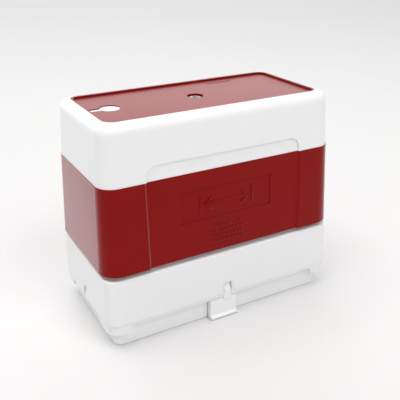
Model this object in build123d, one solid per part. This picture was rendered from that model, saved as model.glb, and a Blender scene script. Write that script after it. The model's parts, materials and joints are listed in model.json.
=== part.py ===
from build123d import *
import math
import os

os.makedirs("parts", exist_ok=True)

# A desk stamp that stands on its dust cap. Z is up and the cap's flat bottom is z = 0.
# X runs along the long side and the front looks towards -Y. The origin is the centre
# of the footprint. All dimensions are in millimetres and degrees.

# ---- Casing: sleeve, upper shell and label tray ------------------------------------
body_w = 86.0             # sleeve at its lower edge, long way
body_d = 44.4             # sleeve at its lower edge, short way
body_r = 6.0              # upright corner radius at the lower edge
sleeve_z = 26.8           # level of the sleeve's lower edge
sleeve_h = 28.2
sleeve_wall = 1.8
sleeve_draft = 2.5
panel_inset = 0.6         # depth of the long recessed panels
panel_w = 57.2
panel_cove = 1.5          # hollow radius at a panel's ends
plate_w = 33.4            # flat blank plate sunk into each panel
plate_h = 10.7
plate_z = 38.5
plate_depth = 0.35
flange_w = 3.0            # inward flange that the shell and the chassis clamp
flange_t = 2.2
spigot_h = 2.7            # shell spigot inside the sleeve's top
spigot_t = 1.4
shell_h = 18.5
shell_wall = 2.2
shell_draft = 3.5
shell_step = 0.12         # shell stands this far inside the sleeve's top edge
shell_edge_r = 3.5
shell_corner = 0.6        # shell's corner radius below the sleeve's
shell_corner_lean = 0.5   # further loss of corner radius up to the top
shell_throat = 2.0        # height over which the shell keeps the spigot's bore
finger_w = 55.4           # finger recess at the shell's lower edge
finger_h = 4.9
finger_r = 3.6
rim_w = 2.9               # top rim from the shell's drafted side to the tray pocket
pocket_r = 3.4
deck_t = 2.5
label_floor_t = 1.0
label_rim_t = 0.75
label_rim_h = 0.6         # height of the label tray's rim above its floor
label_sink = 0.15         # label tray's rim below the shell's rim
label_hole_d = 5.4
collar_wall = 0.8         # label tray's collar in the screw's counterbore
collar_h = 0.9
key_inset = 7.9           # keyhole mark: a round boss and a narrow neck at the left end
key_d = 6.4
key_neck_w = 2.2
key_proud = 0.75          # boss height above the pocket floor
key_dish = 0.25           # hollow of the boss
peg_d = 2.4
peg_x = 18.0
peg_len = 2.0
spigot_corner = 0.7       # spigot's corner radius below the sleeve bore's
spigot_bore_r = 2.2
flange_corner = 1.0       # flange opening's corner radius below the bore's

# ---- Chassis, pins and fasteners ----------------------------------------------------
chassis_t = 2.4
chassis_clear = 1.2
post_d = 9.0
screw_d = 2.9
screw_head_d = 4.8
screw_head_h = 2.1
screw_len = 12.0
screw_sink = 1.6          # depth of the head's counterbore in the deck
screw_head_r = 0.7
cross_depth = 0.7         # cross recess of the centre screw
cross_w = 0.7
cross_len = 2.8
pilot_extra = 1.0         # pilot hole below the screw's point
chassis_r = 3.0
pin_d = 4.0
pin_head_d = 7.0
pin_head_h = 2.5
pin_boss_d = 9.6
pin_boss_h = 2.6
pin_from_wall = 5.3
pin_top_gap = 0.5         # pin's top below the chassis's top
leg_from_pin = 13.5
leg_from_edge = 7.2
leg_d = 6.0
leg_screw_d = 2.4
leg_screw_head_d = 4.6
leg_screw_head_h = 1.9
leg_screw_len = 8.0
leg_cross_depth = 0.7     # cross recess of a leg screw
leg_cross_w = 0.5
leg_cross_len = 2.2

# ---- Skirt ---------------------------------------------------------------------------
travel = 1.6              # stroke from rest to the shoulder meeting the sleeve
foot_z = 5.8              # level of the feet that stand on the paper
cut_z = 8.1               # lower edge between the feet
ledge_z = 9.4             # thin step line round the skirt
ledge_step = 0.35
shoulder_inset = 0.4
shoulder_r = 0.6
shoulder_t = 2.0
skirt_draft = 1.4
skirt_r = 4.0
skirt_wall = 1.7          # below the step line
foot_x = 7.2              # length of a foot along the long side
foot_y = 8.0              # length of a foot along the short side
foot_corner_r = 1.5
neck_h = 12.8
neck_wall = 1.5
neck_r = 3.0
neck_bore_r = 2.0
slide_clear = 0.3
bridge_z = 30.0
bridge_t = 2.5
bridge_reach = 5.0        # bridge beyond the pin, towards the middle
bush_d = 6.0
bush_flange_d = 9.0
bush_flange_t = 0.8
run_clear = 0.05
notch_top_w = 3.8
notch_foot_w = 4.7
notch_z = 13.9
slot_w = 3.0
slot_z = 13.3
over = 3.0                # cutters run past the walls by this

# ---- Springs -------------------------------------------------------------------------
wire_d = 0.8
coil_d = 7.7              # mean diameter
coil_turns = 6
wire_ease = 0.01          # wire radius lost to its coating allowance

# ---- Dust cap -----------------------------------------------------------------------
cap_h = 11.5
cap_clear = 0.35
cap_wall = 1.6
cap_floor = 1.6
cap_draft = 1.8
cap_r = 2.4
cap_edge_r = 0.5
relief_w = 1.4            # small relief notches in the cap's rim beside the feet
relief_z = 6.9
relief_gap = 0.3          # relief notch to the foot's side
rib_in = 0.5              # cutters and tongue roots start this far inside the wall
liner_t = 0.3
liner_clear = 0.4
liner_r = 1.6
tongue_clear = 0.1        # tongue's foot to each side of its slot
tongue_step = 0.15        # a tongue is narrower above its foot by this on each side
tongue_foot_z = 10.2
tongue_drop = 0.2         # side tongue's lower end above the skirt's edge
tongue_gap = 0.25         # tongue's top below the slot's top
tongue_bevel = 0.6
tongue_lean = 0.8
tab_w = 10.2
tab_x = -1.4              # the front tab stands a little left of the tongue
tab_sink = 0.6            # tab's face inside the skirt's face
tab_t = 1.2
tab_gap = 0.35            # tab's top below the skirt's edge
tab_lip = 0.8
tab_lip_h = 0.4
tab_lip_ramp = 0.7
tab_z = 0.4
tab_bite = 0.2            # lip's root inside the tab
arm_t = 1.5               # arm's plate that fills the slit in the cap's wall
arm_top_z = 10.0
arm_floor_gap = 0.2       # arm's root below the cap floor's inner face
arm_slit = 0.2
arm_root = 1.6            # length of the arm's root below the cap's wall

# ---- Pad holder, ink and pad ---------------------------------------------------------
holder_clear = 0.9        # pad holder to the inside of the cap
holder_wall = 1.6
holder_top_t = 2.0
holder_z = 8.9
holder_top_z = 24.5
holder_r = 2.0
holder_bore_r = 0.8
felt_r = 0.7
pad_r = 1.0
face_lift = 1.2           # printing face above the feet at rest
frame_t = 1.4
frame_lip_x = 2.6
frame_lip_y = 3.3
pad_h = 5.5
pad_flange_t = 1.2
fit_gap = 0.1
plug_d = 5.0
plug_head_d = 7.0
plug_x = 8.0
plug_head_h = 1.2

# ---- Levels and sizes that follow ----------------------------------------------------
split_z = sleeve_z + sleeve_h
top_z = split_z + shell_h
shoulder_z = sleeve_z - travel
neck_top = shoulder_z + neck_h
spigot_z = split_z - spigot_h
flange_z = spigot_z - flange_t
chassis_z = flange_z - chassis_t
pocket_z = top_z - label_sink - label_rim_h - label_floor_t
deck_z = pocket_z - deck_t
label_floor_z = pocket_z + label_floor_t
face_z = foot_z + face_lift


def sleeve_size(z):
    """Width and depth of the sleeve's outside at level z."""
    lean = 2 * (z - sleeve_z) * math.tan(math.radians(sleeve_draft))
    return body_w - lean, body_d - lean


def shell_size(z):
    """Width and depth of the upper shell's outside at level z, before its edge is rounded."""
    w, d = sleeve_size(split_z)
    lean = 2 * shell_step + 2 * (z - split_z) * math.tan(math.radians(shell_draft))
    return w - lean, d - lean


def skirt_size(z):
    """Width and depth of the skirt's outside at level z, above the step line."""
    lean = 2 * (shoulder_z - z) * math.tan(math.radians(skirt_draft))
    return body_w - 2 * shoulder_inset + lean, body_d - 2 * shoulder_inset + lean


def less(size, amount):
    """A width and depth with the same amount taken off every side."""
    return size[0] - 2 * amount, size[1] - 2 * amount


skirt_low = less(skirt_size(ledge_z), ledge_step)
skirt_bore = less(skirt_low, skirt_wall)
cap_top = less(skirt_bore, cap_clear)
cap_foot = less(cap_top, cap_h * math.tan(math.radians(cap_draft)))
cap_bore_foot = less(cap_foot, cap_wall)
holder = less(cap_bore_foot, holder_clear)
holder_bore = less(holder, holder_wall)
neck = less(less(sleeve_size(neck_top + travel), sleeve_wall), slide_clear)
neck_bore = less(neck, neck_wall)
chassis = less(less(sleeve_size(flange_z), sleeve_wall), chassis_clear)
spigot = less(less(sleeve_size(split_z), sleeve_wall), fit_gap)
spigot_bore = less(spigot, spigot_t)
pocket = less(shell_size(top_z), rim_w)
label = less(pocket, fit_gap)
key_x = key_inset - pocket[0] / 2
pad = holder[0] - 2 * frame_lip_x, holder[1] - 2 * frame_lip_y

pin_x = neck_bore[0] / 2 - pin_from_wall
leg_x = pin_x - leg_from_pin
arm_root_y = skirt_bore[1] / 2 - cap_clear - arm_root
leg_y = chassis[1] / 2 - leg_from_edge
spring_low = bridge_z + bridge_t + bush_flange_t
spring_high = chassis_z - pin_boss_h
tongue_foot_w = slot_w - 2 * tongue_clear
tongue_w = tongue_foot_w - 2 * tongue_step
sides = (("left", -1), ("right", 1))
ends = (("front", -1), ("rear", 1))


def slab(size, radius, z0, z1):
    """A rounded rectangle raised straight up from z0 to z1."""
    outline = RectangleRounded(size[0], size[1], radius)
    return extrude(Plane.XY.offset(z0) * outline, z1 - z0)


def taper(size0, radius0, z0, size1, radius1, z1):
    """A block whose rounded rectangle changes evenly from z0 to z1."""
    low = Plane.XY.offset(z0) * RectangleRounded(size0[0], size0[1], radius0)
    high = Plane.XY.offset(z1) * RectangleRounded(size1[0], size1[1], radius1)
    return loft([low.face(), high.face()], ruled=True)


def rod(x, y, z0, z1, diameter):
    """A round bar standing at x, y from z0 to z1."""
    return Pos(x, y, (z0 + z1) / 2) * Cylinder(diameter / 2, z1 - z0)


def brick(x0, x1, y0, y1, z0, z1):
    """A plain box between the given limits."""
    centre = Pos((x0 + x1) / 2, (y0 + y1) / 2, (z0 + z1) / 2)
    return centre * Box(x1 - x0, y1 - y0, z1 - z0)


def face_plane(side, depth, z, draft):
    """A plane on the front (side -1) or rear (side 1) wall that leans with its draft."""
    lean = math.radians(draft)
    normal = (0, side * math.cos(lean), math.sin(lean))
    return Plane(origin=(0, side * depth / 2, z), x_dir=(-side, 0, 0), z_dir=normal)


def make_sleeve():
    """Red sleeve: drafted tube, clamped flange, recessed panels with a blank plate."""
    low = sleeve_size(sleeve_z)
    high = sleeve_size(split_z)
    lean = (low[0] - high[0]) / 2
    body = taper(low, body_r, sleeve_z, high, body_r - lean / 2, split_z)
    bore_low = less(low, sleeve_wall)
    bore_mid = less(sleeve_size(flange_z), sleeve_wall)
    bore_r = body_r - sleeve_wall
    body -= taper(bore_low, bore_r, sleeve_z, bore_mid, bore_r - lean / 2, flange_z)
    body -= slab(less(bore_mid, flange_w), bore_r - flange_corner, flange_z, spigot_z)
    body -= slab(less(high, sleeve_wall), bore_r - lean / 2, spigot_z, split_z)
    reach = 2 * panel_cove
    for _, side in ends:
        wall = face_plane(side, body_d, sleeve_z, sleeve_draft)
        slot = Box(panel_w, 3 * sleeve_h, reach, align=(Align.CENTER, Align.CENTER, Align.MIN))
        inner = slot.edges().filter_by(Axis.Y).group_by(Axis.Z)[0]
        slot = fillet(inner, panel_cove)
        body -= wall.offset(-panel_inset) * slot
        mark = Box(plate_w, plate_h, reach, align=(Align.CENTER, Align.MIN, Align.MIN))
        up = (plate_z - sleeve_z) / math.cos(math.radians(sleeve_draft))
        body -= wall.offset(-panel_inset - plate_depth) * Pos(0, up, 0) * mark
    return body


def keyhole(grow, z0, z1):
    """The keyhole mark's round head and neck, grown outwards by a clearance."""
    head = rod(key_x, 0, z0, z1, key_d + 2 * grow)
    reach = -label[0] / 2 + label_rim_t + fit_gap - grow
    half = key_neck_w / 2 + grow
    return head + brick(reach, key_x, -half, half, z0, z1)


def make_shell():
    """White upper shell: rounded top edge, spigot, deck with a pocket for the label tray."""
    low = shell_size(split_z)
    high = shell_size(top_z)
    corner = body_r - shell_corner
    body = taper(low, corner, split_z, high, corner - shell_corner_lean, top_z)
    body = fillet(body.faces().sort_by(Axis.Z)[-1].edges(), shell_edge_r)
    body += slab(spigot, body_r - sleeve_wall - spigot_corner, spigot_z, split_z)
    throat_z = split_z + shell_throat
    body -= slab(spigot_bore, spigot_bore_r, spigot_z, throat_z)
    cavity_low = less(shell_size(throat_z), shell_wall)
    cavity_high = less(shell_size(deck_z), shell_wall)
    body -= taper(cavity_low, corner - shell_wall, throat_z, cavity_high, corner - shell_wall, deck_z)
    body -= slab(pocket, pocket_r, pocket_z, top_z)
    for _, side in ends:
        wall = face_plane(side, low[1], split_z, shell_draft)
        outline = RectangleRounded(finger_w, 2 * finger_h, finger_r)
        body -= wall.offset(-panel_inset) * extrude(outline, 2 * panel_cove)
    boss = keyhole(0, pocket_z, pocket_z + key_proud)
    ball_r = key_d * key_d / (8 * key_dish)
    boss -= Pos(key_x, 0, pocket_z + key_proud - key_dish + ball_r) * Sphere(ball_r)
    body += boss
    collar_d = label_hole_d + 2 * collar_wall
    body -= rod(0, 0, pocket_z - screw_sink, pocket_z, collar_d + 2 * fit_gap)
    body -= rod(0, 0, deck_z, pocket_z, screw_d + 2 * fit_gap)
    for _, side in sides:
        body -= rod(side * peg_x, 0, deck_z, pocket_z, peg_d + 2 * fit_gap)
    return body


def make_label_tray():
    """Red dish that fills the shell's pocket, with a centre hole and a keyhole cut-out."""
    rim_z = top_z - label_sink
    body = slab(label, pocket_r - fit_gap, pocket_z, rim_z)
    dish = less(label, label_rim_t)
    body -= slab(dish, pocket_r - label_rim_t, label_floor_z, rim_z)
    body += rod(0, 0, pocket_z - collar_h, pocket_z, label_hole_d + 2 * collar_wall)
    body -= rod(0, 0, pocket_z - collar_h, rim_z, label_hole_d)
    body -= keyhole(fit_gap, pocket_z, rim_z)
    for _, side in sides:
        body += rod(side * peg_x, 0, pocket_z - peg_len, pocket_z, peg_d)
    return body


def cross(x, y, top, length, width, depth):
    """Cutter for a cross recess, sunk from the level top of a screw head."""
    arm = length / 2
    half = width / 2
    body = brick(x - arm, x + arm, y - half, y + half, top - depth, top + over)
    return body + brick(x - half, x + half, y - arm, y + arm, top - depth, top + over)


def make_centre_screw():
    """Pan-head screw from the deck down into the chassis post."""
    seat = pocket_z - screw_sink
    head = rod(0, 0, seat, seat + screw_head_h, screw_head_d)
    head = fillet(head.edges().sort_by(Axis.Z)[-1], screw_head_r)
    head -= cross(0, 0, seat + screw_head_h, cross_len, cross_w, cross_depth)
    return head + rod(0, 0, seat - screw_len, seat, screw_d)


def make_chassis():
    """Inner plate with the centre post, the pin bosses and the screw holes."""
    body = slab(chassis, chassis_r, chassis_z, flange_z)
    body += rod(0, 0, flange_z, deck_z, post_d)
    pilot_z = pocket_z - screw_sink - screw_len - pilot_extra
    body -= rod(0, 0, pilot_z, deck_z, screw_d + fit_gap)
    for _, side in sides:
        body += rod(side * pin_x, 0, spring_high, chassis_z, pin_boss_d)
        body -= rod(side * pin_x, 0, spring_high, flange_z, pin_d)
        for _, end in ends:
            body -= rod(side * leg_x, end * leg_y, chassis_z, flange_z, leg_screw_d + 2 * fit_gap)
    return body


def make_pin(side):
    """Headed guide pin: pressed in the chassis, its head stops the skirt."""
    top = flange_z - pin_top_gap
    body = rod(side * pin_x, 0, bridge_z - fit_gap, top, pin_d)
    return body + rod(side * pin_x, 0, bridge_z - fit_gap - pin_head_h, bridge_z - fit_gap, pin_head_d)


def make_holder():
    """Open box for the ink and the pad, with four legs up to the chassis."""
    body = slab(holder, holder_r, holder_z, holder_top_z)
    body -= slab(holder_bore, holder_bore_r, holder_z, holder_top_z - holder_top_t)
    for _, side in sides:
        for _, end in ends:
            body += rod(side * leg_x, end * leg_y, holder_top_z, chassis_z, leg_d)
            pilot_z = chassis_z - leg_screw_len
            body -= rod(side * leg_x, end * leg_y, pilot_z, chassis_z, leg_screw_d + fit_gap)
        body -= rod(side * plug_x, 0, holder_top_z - holder_top_t, holder_top_z, plug_d)
    return body


def make_holder_screws():
    """The four equal screws that hold the chassis on the holder's legs."""
    screws = []
    for _, side in sides:
        for _, end in ends:
            x = side * leg_x
            y = end * leg_y
            head = rod(x, y, flange_z, flange_z + leg_screw_head_h, leg_screw_head_d)
            top = flange_z + leg_screw_head_h
            head -= cross(x, y, top, leg_cross_len, leg_cross_w, leg_cross_depth)
            low = flange_z - leg_screw_len
            screws.append(head + rod(x, y, low, flange_z, leg_screw_d))
    return Compound(children=screws)


def make_pad():
    """Printing foam: the face block and the wider flange that the frame clamps."""
    flange_low = holder_z
    body = slab(pad, pad_r, face_z, face_z + pad_h)
    wide = less(holder_bore, fit_gap)
    return body + slab(wide, felt_r, flange_low, flange_low + pad_flange_t)


def make_retaining_frame():
    """Thin frame under the holder's rim that clamps the pad's flange."""
    body = slab(holder, holder_r, holder_z - frame_t, holder_z)
    opening = less(pad, -fit_gap)
    return body - slab(opening, pad_r + fit_gap, holder_z - frame_t, holder_z)


def make_reservoir():
    """Felt block above the pad that holds the ink."""
    low = face_z + pad_h
    return slab(less(holder_bore, fit_gap), felt_r, low, holder_top_z - holder_top_t)


def make_plug(side):
    """Rubber plug in a filling hole of the holder."""
    body = rod(side * plug_x, 0, holder_top_z - holder_top_t, holder_top_z, plug_d)
    return body + rod(side * plug_x, 0, holder_top_z, holder_top_z + plug_head_h, plug_head_d)


def make_skirt():
    """Skirt: drafted box, shoulder, sliding neck, pin bridges, feet and latch openings."""
    high = skirt_size(shoulder_z)
    low = skirt_size(ledge_z)
    body = taper(low, skirt_r, ledge_z, high, skirt_r, shoulder_z)
    body = fillet(body.faces().sort_by(Axis.Z)[-1].edges(), shoulder_r)
    body += slab(skirt_low, skirt_r, foot_z, ledge_z)
    body += slab(neck, neck_r, shoulder_z, neck_top)
    body -= slab(skirt_bore, skirt_r - skirt_wall, foot_z, shoulder_z - shoulder_t)
    body -= slab(neck_bore, neck_bore_r, shoulder_z - shoulder_t, neck_top)
    for _, side in sides:
        near = pin_x - bridge_reach
        x0, x1 = sorted((side * near, side * (neck[0] / 2 - neck_wall / 2)))
        half = neck[1] / 2 - neck_wall / 2
        body += brick(x0, x1, -half, half, bridge_z, bridge_z + bridge_t)
        body -= rod(side * pin_x, 0, bridge_z, bridge_z + bridge_t, bush_d)
    half_w = skirt_low[0] / 2
    half_d = skirt_low[1] / 2
    gap_x = extrude(Plane.XZ * foot_gap(half_w - foot_x), half_d + over, both=True)
    gap_y = extrude(Plane.YZ * foot_gap(half_d - foot_y), half_w + over, both=True)
    body -= gap_x + gap_y
    body -= brick(-slot_w / 2, slot_w / 2, -half_d - over, half_d + over, cut_z, slot_z)
    body -= brick(-half_w - over, half_w + over, -slot_w / 2, slot_w / 2, cut_z, slot_z)
    for _, side in ends:
        y0, y1 = sorted((side * half_d, side * (half_d + over)))
        half = notch_foot_w / 2
        top = notch_top_w / 2
        outline = Polyline((-half, cut_z), (half, cut_z), (top, notch_z), (-top, notch_z), close=True)
        pocket_face = make_face(Plane.XZ * outline)
        body -= Pos(0, y1, 0) * extrude(pocket_face, y1 - y0, dir=(0, -1, 0))
    return body


def foot_gap(half):
    """Outline of the opening between two feet, with rounded foot corners below."""
    body = Pos(0, (foot_z + cut_z) / 2) * Rectangle(2 * half, cut_z - foot_z)
    r = foot_corner_r
    for side in (-1, 1):
        square = Pos(side * (half + r / 2), foot_z + r / 2) * Rectangle(r, r)
        body += square - Pos(side * (half + r), foot_z + r) * Circle(r)
    return body


def make_bush(side):
    """Flanged bush in the skirt's bridge. The spring stands on its flange."""
    body = rod(side * pin_x, 0, bridge_z, bridge_z + bridge_t, bush_d)
    body += rod(side * pin_x, 0, bridge_z + bridge_t, spring_low, bush_flange_d)
    return body - rod(side * pin_x, 0, bridge_z, spring_low, pin_d + 2 * run_clear)


def make_spring(side):
    """Return spring round a guide pin, between the bush and the chassis boss."""
    length = spring_high - spring_low - wire_d
    path = Helix(pitch=length / coil_turns, height=length, radius=coil_d / 2)
    wire = Plane(origin=path @ 0, z_dir=path % 0) * Circle(wire_d / 2 - wire_ease)
    return Pos(side * pin_x, 0, spring_low + wire_d / 2) * sweep(wire, path, is_frenet=True)


def make_tongue(base, low, back):
    """Tongue that rises in a skirt slot, towards +Y, with a leaning, bevelled head."""
    top = slot_z - tongue_gap
    outline = Polyline(
        (back, low),
        (base, low),
        (base, tongue_foot_z),
        (base - tongue_lean, top - tongue_bevel),
        (base - tongue_lean - tongue_bevel, top),
        (back, top),
        close=True,
    )
    section = make_face(Plane.YZ * outline)
    body = extrude(section, tongue_foot_w / 2, both=True)
    for side in (-1, 1):
        x0, x1 = sorted((side * tongue_w / 2, side * (tongue_foot_w / 2 + over)))
        body -= brick(x0, x1, back - over, base + over, tongue_foot_z, top + over)
    return body


def make_cap():
    """Dust cap: drafted tray with a slit front and rear wall and side tongues."""
    body = taper(cap_foot, cap_r, 0, cap_top, cap_r, cap_h)
    body = fillet(body.faces().sort_by(Axis.Z)[0].edges(), cap_edge_r)
    bore_top = less(cap_top, cap_wall)
    body -= taper(cap_bore_foot, cap_r - cap_wall / 2, cap_floor, bore_top, cap_r - cap_wall / 2, cap_h)
    half_w = skirt_low[0] / 2
    half_d = skirt_low[1] / 2
    inner_w = cap_bore_foot[0] / 2 - rib_in
    inner_d = cap_bore_foot[1] / 2 - rib_in
    for _, side in sides:
        x = side * (half_w - foot_x)
        x0, x1 = sorted((x - side * relief_gap, x - side * (relief_gap + relief_w)))
        body -= brick(x0, x1, -half_d, -inner_d, relief_z, cap_h)
        body -= brick(x0, x1, inner_d, half_d, relief_z, cap_h)
        y = side * (half_d - foot_y)
        y0, y1 = sorted((y - side * relief_gap, y - side * (relief_gap + relief_w)))
        body -= brick(-half_w, -inner_w, y0, y1, relief_z, cap_h)
        body -= brick(inner_w, half_w, y0, y1, relief_z, cap_h)
        body += Rot(0, 0, -90 * side) * make_tongue(half_w, cut_z + tongue_drop, inner_w + rib_in)
    half = tab_w / 2 + arm_slit
    slit = brick(tab_x - half, tab_x + half, -half_d, -inner_d, cap_floor, cap_h)
    slit += brick(tab_x - half, tab_x + half, -half_d, -arm_root_y, 0, cap_floor)
    return body - slit - Rot(0, 0, 180) * slit


def make_liner():
    """Thin film on the cap's floor."""
    return slab(less(cap_bore_foot, liner_clear), liner_r, cap_floor, cap_floor + liner_t)


def make_latch():
    """Front latch, drawn towards +Y: finger tab with a lip, arm and tongue."""
    half_d = skirt_low[1] / 2
    face = skirt_size(ledge_z)[1] / 2 - tab_sink
    tab_top = cut_z - tab_gap
    back = half_d - skirt_wall - cap_clear / 2
    x0 = -tab_x - tab_w / 2
    x1 = -tab_x + tab_w / 2
    body = make_tongue(half_d, tab_top - tab_t, back)
    body += brick(x0, x1, face - tab_t, face, tab_z, tab_top)
    lip = Polyline(
        (face - tab_bite, tab_z),
        (face + tab_lip, tab_z),
        (face + tab_lip, tab_z + tab_lip_h),
        (face, tab_z + tab_lip_h + tab_lip_ramp),
        (face - tab_bite, tab_z + tab_lip_h + tab_lip_ramp),
        close=True,
    )
    body += Pos(-tab_x, 0, 0) * extrude(make_face(Plane.YZ * lip), tab_w / 2, both=True)
    body += brick(x0, x1, arm_root_y + fit_gap, face - tab_t / 2, tab_z, cap_floor - arm_floor_gap)
    arm_y = cap_top[1] / 2
    body += brick(x0, x1, arm_y - arm_t, face - tab_t / 2, tab_z, tab_top)
    return body + brick(x0, x1, arm_y - arm_t, arm_y, tab_z, arm_top_z)


def export_all():
    """Build every node and write one STEP file for each."""
    nodes = {
        "grip_shell": make_shell(),
        "casing_sleeve": make_sleeve(),
        "label_tray": make_label_tray(),
        "centre_screw": make_centre_screw(),
        "chassis": make_chassis(),
        "pad_holder": make_holder(),
        "holder_screws": make_holder_screws(),
        "ink_reservoir": make_reservoir(),
        "printing_pad": make_pad(),
        "retaining_frame": make_retaining_frame(),
        "skirt_frame": make_skirt(),
        "cap_tray": make_cap(),
        "cap_liner": make_liner(),
        "cap_latch_front": Rot(0, 0, 180) * make_latch(),
        "cap_latch_rear": make_latch(),
    }
    for name, side in sides:
        nodes["guide_pin_" + name] = make_pin(side)
        nodes["guide_bush_" + name] = make_bush(side)
        nodes["return_spring_" + name] = make_spring(side)
        nodes["ink_plug_" + name] = make_plug(side)
    for name, shape in nodes.items():
        export_step(shape, "parts/" + name + ".step")


export_all()
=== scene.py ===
import json
import math
import random
import bmesh
import bpy
from mathutils import Matrix, Vector


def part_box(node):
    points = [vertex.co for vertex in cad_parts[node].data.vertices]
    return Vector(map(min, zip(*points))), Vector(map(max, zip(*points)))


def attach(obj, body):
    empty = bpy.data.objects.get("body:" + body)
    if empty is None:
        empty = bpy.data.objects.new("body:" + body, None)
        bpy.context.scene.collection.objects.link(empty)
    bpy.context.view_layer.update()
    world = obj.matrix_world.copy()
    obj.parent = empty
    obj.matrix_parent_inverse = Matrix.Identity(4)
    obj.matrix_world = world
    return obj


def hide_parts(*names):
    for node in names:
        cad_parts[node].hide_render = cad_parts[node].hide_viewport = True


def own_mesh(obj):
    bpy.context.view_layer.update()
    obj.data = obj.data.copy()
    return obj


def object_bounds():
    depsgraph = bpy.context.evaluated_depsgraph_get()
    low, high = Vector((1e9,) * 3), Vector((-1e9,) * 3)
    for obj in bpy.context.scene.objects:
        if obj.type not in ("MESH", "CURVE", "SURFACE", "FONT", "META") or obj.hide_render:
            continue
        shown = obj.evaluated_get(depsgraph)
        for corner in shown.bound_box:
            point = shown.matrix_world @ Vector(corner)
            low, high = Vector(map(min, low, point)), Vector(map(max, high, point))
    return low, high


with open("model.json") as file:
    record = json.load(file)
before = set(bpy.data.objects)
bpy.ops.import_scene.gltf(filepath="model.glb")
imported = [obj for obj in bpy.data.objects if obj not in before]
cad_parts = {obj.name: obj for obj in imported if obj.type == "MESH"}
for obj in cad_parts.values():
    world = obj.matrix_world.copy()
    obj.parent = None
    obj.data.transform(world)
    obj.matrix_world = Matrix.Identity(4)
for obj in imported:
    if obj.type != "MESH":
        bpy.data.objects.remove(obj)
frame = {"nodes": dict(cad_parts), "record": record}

cad_low, cad_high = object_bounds()

# Camera: a short tele lens at the stamp's left front, a little above it, so that the
# desk fills the view behind it. The plain view transform keeps the reds clean.
view_turn = math.radians(-28.88)
view_height = math.radians(24.33)
view_roll = math.radians(-0.43)
view_distance = 0.21375
view_target = Vector((0.00153, 0.0, 0.03493))
back = Vector((math.sin(view_turn) * math.cos(view_height),
               -math.cos(view_turn) * math.cos(view_height),
               math.sin(view_height)))
camera_data = bpy.data.cameras.new("camera")
camera_data.sensor_width = 36.0
camera_data.lens = 54.37
camera_data.clip_start = 0.01
camera = bpy.data.objects.new("camera", camera_data)
bpy.context.scene.collection.objects.link(camera)
camera.rotation_mode = "QUATERNION"
roll = Matrix.Rotation(view_roll, 3, "Z").to_quaternion()
camera.rotation_quaternion = back.to_track_quat("Z", "Y") @ roll
camera.location = view_target + back * view_distance
bpy.context.scene.camera = camera
bpy.context.scene.view_settings.view_transform = "Standard"


# Desk: a wide sheet of pale matt paper board under the stamp. Paper board scatters
# light evenly, with a faint unevenness of tone.
def linear(colour):
    """An sRGB hex value as linear red, green, blue and alpha."""
    parts = [int(colour[i:i + 2], 16) / 255.0 for i in (0, 2, 4)]
    return tuple(p / 12.92 if p <= 0.04045 else ((p + 0.055) / 1.055) ** 2.4 for p in parts) + (1.0,)


def add(owner, kind, settings=None, links=None):
    """Adds a node to a material or a world, with its settings and the outputs that feed it."""
    node = owner.node_tree.nodes.new(kind)
    for key, value in (settings or {}).items():
        if isinstance(key, int) or key in node.inputs:
            node.inputs[key].default_value = value
        else:
            setattr(node, key, value)
    for key, (source, output) in (links or {}).items():
        owner.node_tree.links.new(source.outputs[output], node.inputs[key])
    return node


def finish_with(name, **sockets):
    """A new material with its shader's constant sockets set, and that shader."""
    material = bpy.data.materials.new(name)
    material.use_nodes = True
    shader = material.node_tree.nodes["Principled BSDF"]
    for key, value in sockets.items():
        shader.inputs[key.replace("_", " ")].default_value = value
    return material, shader


def into(owner, shader, socket, source, output):
    """Feeds one socket of a shader from a node's output."""
    owner.node_tree.links.new(source.outputs[output], shader.inputs[socket])


def two_tones(material, first, second, source, output):
    """A node that mixes two sRGB hex colours by another node's output."""
    return add(material, "ShaderNodeMix",
               {"data_type": "RGBA", 6: linear(first), 7: linear(second)}, {0: (source, output)})


cloud_width = 0.12
desk_reach = 4.0
desk_gap = 0.00002       # keeps the desk's face clear of the cap's floor
paper, paper_shader = finish_with("pale_paper_board", Roughness=0.85, Specular_IOR_Level=0.2)
paper_place = add(paper, "ShaderNodeTexCoord")
paper_cloud = add(paper, "ShaderNodeTexNoise", {"Scale": 1 / cloud_width, "Detail": 2.0},
                  {"Vector": (paper_place, "Object")})
into(paper, paper_shader, "Base Color", two_tones(paper, "E2E1E0", "E6E5E4", paper_cloud, 0), 2)
desk_mesh = bmesh.new()
bmesh.ops.create_grid(desk_mesh, x_segments=8, y_segments=8, size=desk_reach)
bmesh.ops.translate(desk_mesh, verts=desk_mesh.verts, vec=(0, 0, cad_low.z - desk_gap))
desk_data = bpy.data.meshes.new("desk")
desk_mesh.to_mesh(desk_data)
desk_mesh.free()
desk = bpy.data.objects.new("desk", desk_data)
desk_data.materials.append(paper)
bpy.context.scene.collection.objects.link(desk)


# Room and lights: a white room that is brighter near the horizon, a broad white wall of
# light behind the stamp, a soft light above it and a small one high at the front.
horizon_glow = 0.8
ceiling_glow = 0.42
ceiling_from = 0.45      # rise of the view line at which the ceiling's glow is reached
room = bpy.data.worlds.new("pale_room")
bpy.context.scene.world = room
room.use_nodes = True
room_shade = room.node_tree.nodes["Background"]
room_shade.inputs["Color"].default_value = linear("FBFBFD")
room_place = add(room, "ShaderNodeTexCoord")
room_height = add(room, "ShaderNodeSeparateXYZ", None, {0: (room_place, "Generated")})
room_glow = add(room, "ShaderNodeMapRange",
                {"From Min": 0.0, "From Max": ceiling_from, "To Min": horizon_glow, "To Max": ceiling_glow},
                {"Value": (room_height, "Z")})
into(room, room_shade, "Strength", room_glow, 0)


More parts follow.
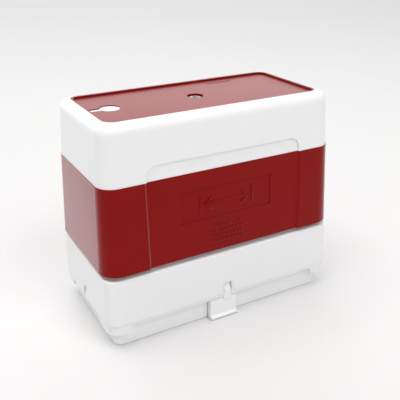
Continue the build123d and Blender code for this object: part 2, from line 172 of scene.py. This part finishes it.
def soft_light(name, place, aim, width, height, power):
    """A rectangular studio softbox that faces a point. Power is in watts."""
    lamp = bpy.data.lights.new(name, "AREA")
    lamp.shape = "RECTANGLE"
    lamp.size = width
    lamp.size_y = height
    lamp.energy = power
    holder = bpy.data.objects.new(name, lamp)
    holder.location = place
    holder.rotation_mode = "QUATERNION"
    holder.rotation_quaternion = (Vector(place) - Vector(aim)).to_track_quat("Z", "Y")
    bpy.context.scene.collection.objects.link(holder)


soft_light("light_above", place=(-0.25, 0.0, 1.0), aim=(0.0, 0.0, 0.04), width=0.9, height=0.9, power=7.0)
soft_light("light_back", place=(0.6, 2.2, 0.75), aim=(0.0, 0.0, 0.05), width=5.2, height=1.2, power=41.0)
soft_light("light_front", place=(0.2, -0.75, 0.9), aim=(0.0, 0.0, 0.04), width=0.5, height=0.5, power=3.6)


# Upper shell: the white half that the palm pushes on. It is injection moulded ABS with
# a finely sparked face, and its spigot plugs into the sleeve.
def moulded_plastic(name, colour, shade, roughness, specular, grain, depth, haze=0.0):
    """Moulded plastic: a fine spark grain, a slow drift of tone and softly broken edges.

    The grain's width and depth are in metres. Real spark grain is about 0.05 mm wide, and
    it is drawn a few times coarser here, so that it still breaks up the reflections. Haze
    is the whitish veil that such a grain shows at a glancing look."""
    drift_width = 0.018
    gloss_swing = 0.03
    edge_break = 0.00018
    material, shader = finish_with(name, Specular_IOR_Level=specular, IOR=1.53, Sheen_Roughness=0.35)
    if haze:
        glance = add(material, "ShaderNodeLayerWeight", {"Blend": 0.5})
        veil = add(material, "ShaderNodeMapRange",
                   {"From Min": 0.25, "From Max": 0.72, "To Min": 0.15 * haze, "To Max": haze},
                   {"Value": (glance, "Facing")})
        into(material, shader, "Sheen Weight", veil, 0)
    place = add(material, "ShaderNodeTexCoord")
    drift = add(material, "ShaderNodeTexNoise", {"Scale": 1 / drift_width, "Detail": 3.0},
                {"Vector": (place, "Object")})
    into(material, shader, "Base Color", two_tones(material, colour, shade, drift, 0), 2)
    fine = add(material, "ShaderNodeTexNoise", {"Scale": 1 / grain, "Detail": 2.0},
               {"Vector": (place, "Object")})
    gloss = add(material, "ShaderNodeMapRange",
                {"From Min": 0.3, "From Max": 0.7,
                 "To Min": roughness - gloss_swing, "To Max": roughness + gloss_swing},
                {"Value": (fine, 0)})
    into(material, shader, "Roughness", gloss, 0)
    edge = add(material, "ShaderNodeBevel", {"samples": 4, "Radius": edge_break})
    bump = add(material, "ShaderNodeBump", {"Strength": 1.0, "Distance": depth},
               {"Height": (fine, 0), "Normal": (edge, 0)})
    into(material, shader, "Normal", bump, 0)
    return material


def dress(material, *nodes):
    """Gives carried-over CAD nodes their material."""
    for node in nodes:
        mesh = frame["nodes"][node].data
        mesh.materials.clear()
        mesh.materials.append(material)


white_abs = moulded_plastic("white_moulded_abs", "F1F1F1", "EEEEEF", roughness=0.42, specular=0.45,
                            grain=0.00016, depth=0.000002)
dress(white_abs, "grip_shell")


# Sleeve: the red tube that the fingers hold. It is moulded in a deep red ABS with a
# satin face, and screwed between the shell and the chassis.
red_abs = moulded_plastic("red_moulded_abs", "870905", "810704", roughness=0.31, specular=0.1,
                          grain=0.00032, depth=0.000007, haze=0.9)
dress(red_abs, "casing_sleeve")
sleeve_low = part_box("casing_sleeve")[0]
sleeve_draft = math.radians(2.5)


def put(mesh, name, material, body, slot, *nodes):
    """Makes a finished piece from a mesh, hangs it on its body and hides the CAD nodes that it replaces."""
    bmesh.ops.remove_doubles(mesh, verts=mesh.verts, dist=0.0000002)
    bmesh.ops.recalc_face_normals(mesh, faces=mesh.faces)
    data = bpy.data.meshes.new(name)
    mesh.to_mesh(data)
    mesh.free()
    data.materials.append(material)
    piece = bpy.data.objects.new(name, data)
    bpy.context.scene.collection.objects.link(piece)
    data.set_sharp_from_angle(angle=math.radians(35))
    for face in data.polygons:
        face.use_smooth = True
    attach(piece, body)
    if nodes:
        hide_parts(*nodes)
    return piece


def raised_bar(mesh, start, end, width, proud, sunk, edge):
    """A raised bar with softened edges, from start to end on the XZ plane, facing -Y."""
    start, end = Vector(start), Vector(end)
    run = end - start
    made = bmesh.ops.create_cube(mesh, size=1.0)["verts"]
    bmesh.ops.scale(mesh, vec=(run.length + width, proud + sunk, width), verts=made)
    edges = list({e for v in made for e in v.link_edges})
    softened = bmesh.ops.bevel(mesh, geom=edges, offset=edge, segments=2, profile=0.5,
                               affect="EDGES", material=-1)
    made = list(set(softened["verts"]) | {v for v in made if v.is_valid})
    turn = Matrix.Rotation(-math.atan2(run.y, run.x), 4, "Y")
    middle = (start + end) / 2
    bmesh.ops.transform(mesh, matrix=turn, verts=made)
    bmesh.ops.translate(mesh, vec=(middle.x, (sunk - proud) / 2, middle.y), verts=made)


def on_front(mesh, level, inset):
    """Leans a mesh drawn on the XZ plane with the sleeve's front, at a height and an inset."""
    lean = Matrix.Rotation(-sleeve_draft, 4, "X")
    face = sleeve_low.y + (level - sleeve_low.z) * math.tan(sleeve_draft) + inset
    bmesh.ops.transform(mesh, matrix=Matrix.Translation((0, face, level)) @ lean, verts=mesh.verts)


def both_sides(mesh):
    """Adds the same marks on the rear."""
    copy = bmesh.ops.duplicate(mesh, geom=mesh.verts[:] + mesh.edges[:] + mesh.faces[:])
    verts = [v for v in copy["geom"] if isinstance(v, bmesh.types.BMVert)]
    bmesh.ops.rotate(mesh, cent=(0, 0, 0), matrix=Matrix.Rotation(math.pi, 3, "Z"), verts=verts)


# Sleeve's plate mark: a raised width arrow between two end bars, moulded with the sleeve
# on the blank plate of the front and the rear.
plate_inset = 0.00095
plate_level = 0.0437
mark_width = 0.00065
mark_proud = 0.0003
mark_sunk = 0.0004
mark_edge = 0.00009
end_bar_x = 0.0096
end_bar_reach = 0.0024
shaft_x = 0.0076
tip_x = 0.0079
barb_x = 0.0056
barb_z = 0.002
mark_lines = []
for side in (-1, 1):
    mark_lines.append(((side * end_bar_x, -end_bar_reach), (side * end_bar_x, end_bar_reach)))
mark_lines.append(((-shaft_x, 0.0), (shaft_x, 0.0)))
for side in (-1, 1):
    for rise in (barb_z, -barb_z):
        mark_lines.append(((side * tip_x, 0.0), (side * barb_x, rise)))
plate_mark = bmesh.new()
for line_start, line_end in mark_lines:
    raised_bar(plate_mark, line_start, line_end, mark_width, mark_proud, mark_sunk, mark_edge)
on_front(plate_mark, plate_level, plate_inset)
both_sides(plate_mark)
put(plate_mark, "sleeve_plate_mark", red_abs, "grip", "red_sleeve")


# Sleeve's fine dashes: four short rows of plain raised dashes under the plate, moulded
# with the sleeve where makers put their small print.
panel_inset = 0.0006
row_count = 4
row_pitch = 0.0018
row_from, row_to = -0.0058, 0.0052
rows_level = 0.0355
dash_gap = 0.0011
dashes = random.Random(7)
dash_rows = bmesh.new()
for row in range(row_count):
    x = row_from
    while x < row_to:
        run = dashes.uniform(0.0001, 0.0005)
        raised_bar(dash_rows, (x, -row * row_pitch), (x + run, -row * row_pitch),
                   width=0.0007, proud=0.0002, sunk=0.0004, edge=0.00006)
        x += run + dash_gap
on_front(dash_rows, rows_level, panel_inset)
both_sides(dash_rows)
put(dash_rows, "sleeve_fine_dashes", red_abs, "grip", "red_sleeve")


# Label tray: a shallow red dish pressed into the shell's top. It is the sleeve's ABS with
# a flatter face, and has one short row of raised dashes along its rear edge.
red_tray_abs = moulded_plastic("red_tray_abs", "860605", "800504", roughness=0.4, specular=0.15,
                               grain=0.00032, depth=0.000006, haze=0.06)
dress(red_tray_abs, "label_tray")
tray_floor = next(m["pos_m"][2] for m in frame["record"]["mounts"] if m["name"] == "label_seat")
tray_row_y = 0.0122
tray_row_from, tray_row_to = 0.0112, 0.0212
tray_dash_gap = 0.001
tray_dashes = bmesh.new()
x = tray_row_from
while x < tray_row_to:
    run = dashes.uniform(0.0003, 0.0012)
    raised_bar(tray_dashes, (x, 0.0), (x + run, 0.0), width=0.0005, proud=0.0001, sunk=0.0003, edge=0.00005)
    x += run + tray_dash_gap
lay_down = Matrix.Translation((0, tray_row_y, tray_floor)) @ Matrix.Rotation(-math.pi / 2, 4, "X")
bmesh.ops.transform(tray_dashes, matrix=lay_down, verts=tray_dashes.verts)
put(tray_dashes, "tray_fine_dashes", red_tray_abs, "grip", "red_tray")


# Screws: cross-head pan screws, cold headed steel with a bright zinc plate. One pulls the
# chassis up to the shell's deck, and four hold the chassis on the pad holder's legs.
def plated_steel(name, colour, roughness, streak):
    """Bright metal with faint turning marks, streak metres apart."""
    material, shader = finish_with(name, Metallic=1.0)
    place = add(material, "ShaderNodeTexCoord")
    marks = add(material, "ShaderNodeTexNoise", {"Scale": 1 / streak, "Detail": 3.0},
                {"Vector": (place, "Object")})
    into(material, shader, "Base Color", two_tones(material, colour, "A9A9AC", marks, 0), 2)
    gloss = add(material, "ShaderNodeMapRange", {"To Min": roughness - 0.06, "To Max": roughness + 0.08},
                {"Value": (marks, 0)})
    into(material, shader, "Roughness", gloss, 0)
    bump = add(material, "ShaderNodeBump", {"Strength": 0.6, "Distance": 0.000004}, {"Height": (marks, 0)})
    into(material, shader, "Normal", bump, 0)
    return material


zinc_steel = plated_steel("zinc_plated_steel", "DCDCDE", roughness=0.38, streak=0.0003)
dress(zinc_steel, "centre_screw", "holder_screws")


# Skirt: the white box that slides up into the casing. It is the same ABS as the shell,
# moulded in one piece with its neck, its bridges and its corner feet.
white_skirt_abs = moulded_plastic("white_skirt_abs", "EFEFEF", "ECECED", roughness=0.42, specular=0.45,
                                  grain=0.00016, depth=0.000002)
dress(white_skirt_abs, "skirt_frame")


# Dust cap: a thin tray in white polypropylene, a little duller than ABS, with two springy
# arms cut from its long walls that end in finger tabs.
white_cap_pp = moulded_plastic("white_cap_polypropylene", "F4F4F4", "F1F1F2", roughness=0.45,
                               specular=0.4, grain=0.00016, depth=0.000002)
dress(white_cap_pp, "cap_tray", "cap_latch_front", "cap_latch_rear")


# Film on the cap's floor: clear polyester, die cut and laid in loose, that keeps the
# printing face off the plastic. It shows as a glossy, faintly blue skin.
film = moulded_plastic("polyester_film", "DDE3E6", "D8DFE3", roughness=0.12, specular=0.5,
                       grain=0.0012, depth=0.000003)
dress(film, "cap_liner")


# Inner frame: chassis, pad holder and retaining frame, moulded in dark glass-filled
# nylon, which has a dull and slightly mottled face.
dark_nylon = moulded_plastic("dark_glass_filled_nylon", "2B2B2E", "36363A", roughness=0.55,
                             specular=0.4, grain=0.0003, depth=0.000005)
dress(dark_nylon, "chassis", "pad_holder", "retaining_frame")


# Guide pins and bushes: ground steel rods with upset heads, which run in flanged bushes
# of cream acetal, turned to size and pressed into the skirt's bridges.
ground_steel = plated_steel("ground_steel", "B9BABD", roughness=0.2, streak=0.0002)
dress(ground_steel, "guide_pin_left", "guide_pin_right")
acetal = moulded_plastic("cream_acetal", "E9E4D6", "E4DFD0", roughness=0.35, specular=0.5,
                         grain=0.0002, depth=0.000002)
dress(acetal, "guide_bush_left", "guide_bush_right")


# Return springs: hard drawn steel wire, coiled round the guide pins. They shorten as
# the skirt slides up.
spring_wire = plated_steel("drawn_spring_steel", "B4B5B8", roughness=0.28, streak=0.0002)
coil_turns = 6
coil_steps = 32
wire_sides = 10
wire_radius = 0.00039
for side in ("left", "right"):
    low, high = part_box("return_spring_" + side)
    centre = (low + high) / 2
    length = high.z - low.z
    coil_radius = (high.x - low.x) / 2 - wire_radius
    climb = length - 2 * wire_radius
    coil = bmesh.new()
    ring = bmesh.ops.create_circle(coil, cap_ends=False, segments=wire_sides, radius=wire_radius)["verts"]
    bmesh.ops.rotate(coil, cent=(0, 0, 0), matrix=Matrix.Rotation(math.pi / 2, 3, "X"), verts=ring)
    bmesh.ops.translate(coil, vec=(centre.x + coil_radius, centre.y, low.z + wire_radius), verts=ring)
    bmesh.ops.spin(coil, geom=ring + coil.edges[:], cent=(centre.x, centre.y, 0), axis=(0, 0, 1),
                   dvec=(0, 0, climb / (coil_turns * coil_steps)), angle=2 * math.pi * coil_turns,
                   steps=coil_turns * coil_steps, use_merge=False)
    bmesh.ops.holes_fill(coil, edges=[e for e in coil.edges if e.is_boundary], sides=wire_sides)
    spring = put(coil, "coil_spring_" + side, spring_wire, "grip", "spring_steel", "return_spring_" + side)
    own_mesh(spring)


# Printing pad: a block of fine microporous foam that carries the ink and the raised
# printing face. Its cut edges are slightly rounded and its face is soft and dull.
def foam_block(mesh, low, high, corner, edge):
    """A block with rounded upright corners and softened top and bottom edges."""
    made = bmesh.ops.create_cube(mesh, size=1.0)["verts"]
    bmesh.ops.scale(mesh, vec=high - low, verts=made)
    bmesh.ops.translate(mesh, vec=(low + high) / 2, verts=made)
    upright = [e for e in mesh.edges if abs(e.verts[0].co.z - e.verts[1].co.z) > (high.z - low.z) / 2]
    bmesh.ops.bevel(mesh, geom=upright, offset=corner, segments=6, profile=0.5, affect="EDGES", material=-1)
    rims = [e for e in mesh.edges if e.calc_face_angle() > 1.0]
    bmesh.ops.bevel(mesh, geom=rims, offset=edge, segments=3, profile=0.5, affect="EDGES", material=-1)


pore_width = 0.00035     # coarser than the real pores, so that they show
foam, foam_shader = finish_with("microporous_foam", Roughness=0.8, Specular_IOR_Level=0.3)
foam_place = add(foam, "ShaderNodeTexCoord")
pores = add(foam, "ShaderNodeTexVoronoi", {"Scale": 1 / pore_width}, {"Vector": (foam_place, "Object")})
into(foam, foam_shader, "Base Color", two_tones(foam, "1D1D22", "3A3A42", pores, "Distance"), 2)
foam_bump = add(foam, "ShaderNodeBump", {"Strength": 0.7, "Distance": 0.00004},
                {"Height": (pores, "Distance")})
into(foam, foam_shader, "Normal", foam_bump, 0)
pad_low, pad_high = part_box("printing_pad")
frame_low, frame_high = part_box("retaining_frame")
lip_x, lip_y = 0.0026, 0.0033
block_low = Vector((frame_low.x + lip_x, frame_low.y + lip_y, pad_low.z))
block_high = Vector((frame_high.x - lip_x, frame_high.y - lip_y, pad_high.z))
pad_mesh = bmesh.new()
foam_block(pad_mesh, block_low, block_high, corner=0.001, edge=0.0003)
pad = put(pad_mesh, "foam_pad", foam, "grip", "foam", "printing_pad")


# Ink reservoir: a block of dense wool felt, cut with a knife and soaked with ink, that
# fills the pad holder above the pad.
tuft_width = 0.0006
felt, felt_shader = finish_with("ink_soaked_felt", Roughness=0.9, Specular_IOR_Level=0.2)
felt_place = add(felt, "ShaderNodeTexCoord")
fibres = add(felt, "ShaderNodeTexNoise", {"Scale": 1 / tuft_width, "Detail": 6.0, "Roughness": 0.75},
             {"Vector": (felt_place, "Object")})
into(felt, felt_shader, "Base Color", two_tones(felt, "14141C", "30303D", fibres, 0), 2)
felt_bump = add(felt, "ShaderNodeBump", {"Strength": 0.8, "Distance": 0.0001}, {"Height": (fibres, 0)})
into(felt, felt_shader, "Normal", felt_bump, 0)
felt_low, felt_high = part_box("ink_reservoir")
felt_mesh = bmesh.new()
foam_block(felt_mesh, felt_low, felt_high, corner=0.0007, edge=0.0004)
felt_block = put(felt_mesh, "felt_block", felt, "grip", "felt", "ink_reservoir")


# Ink plugs: black rubber buttons, moulded and pushed into the holder's two filling
# holes, where their own squeeze holds them.
rubber = moulded_plastic("black_rubber", "1A1A1A", "222222", roughness=0.65, specular=0.3,
                         grain=0.0003, depth=0.000006)
dress(rubber, "ink_plug_left", "ink_plug_right")
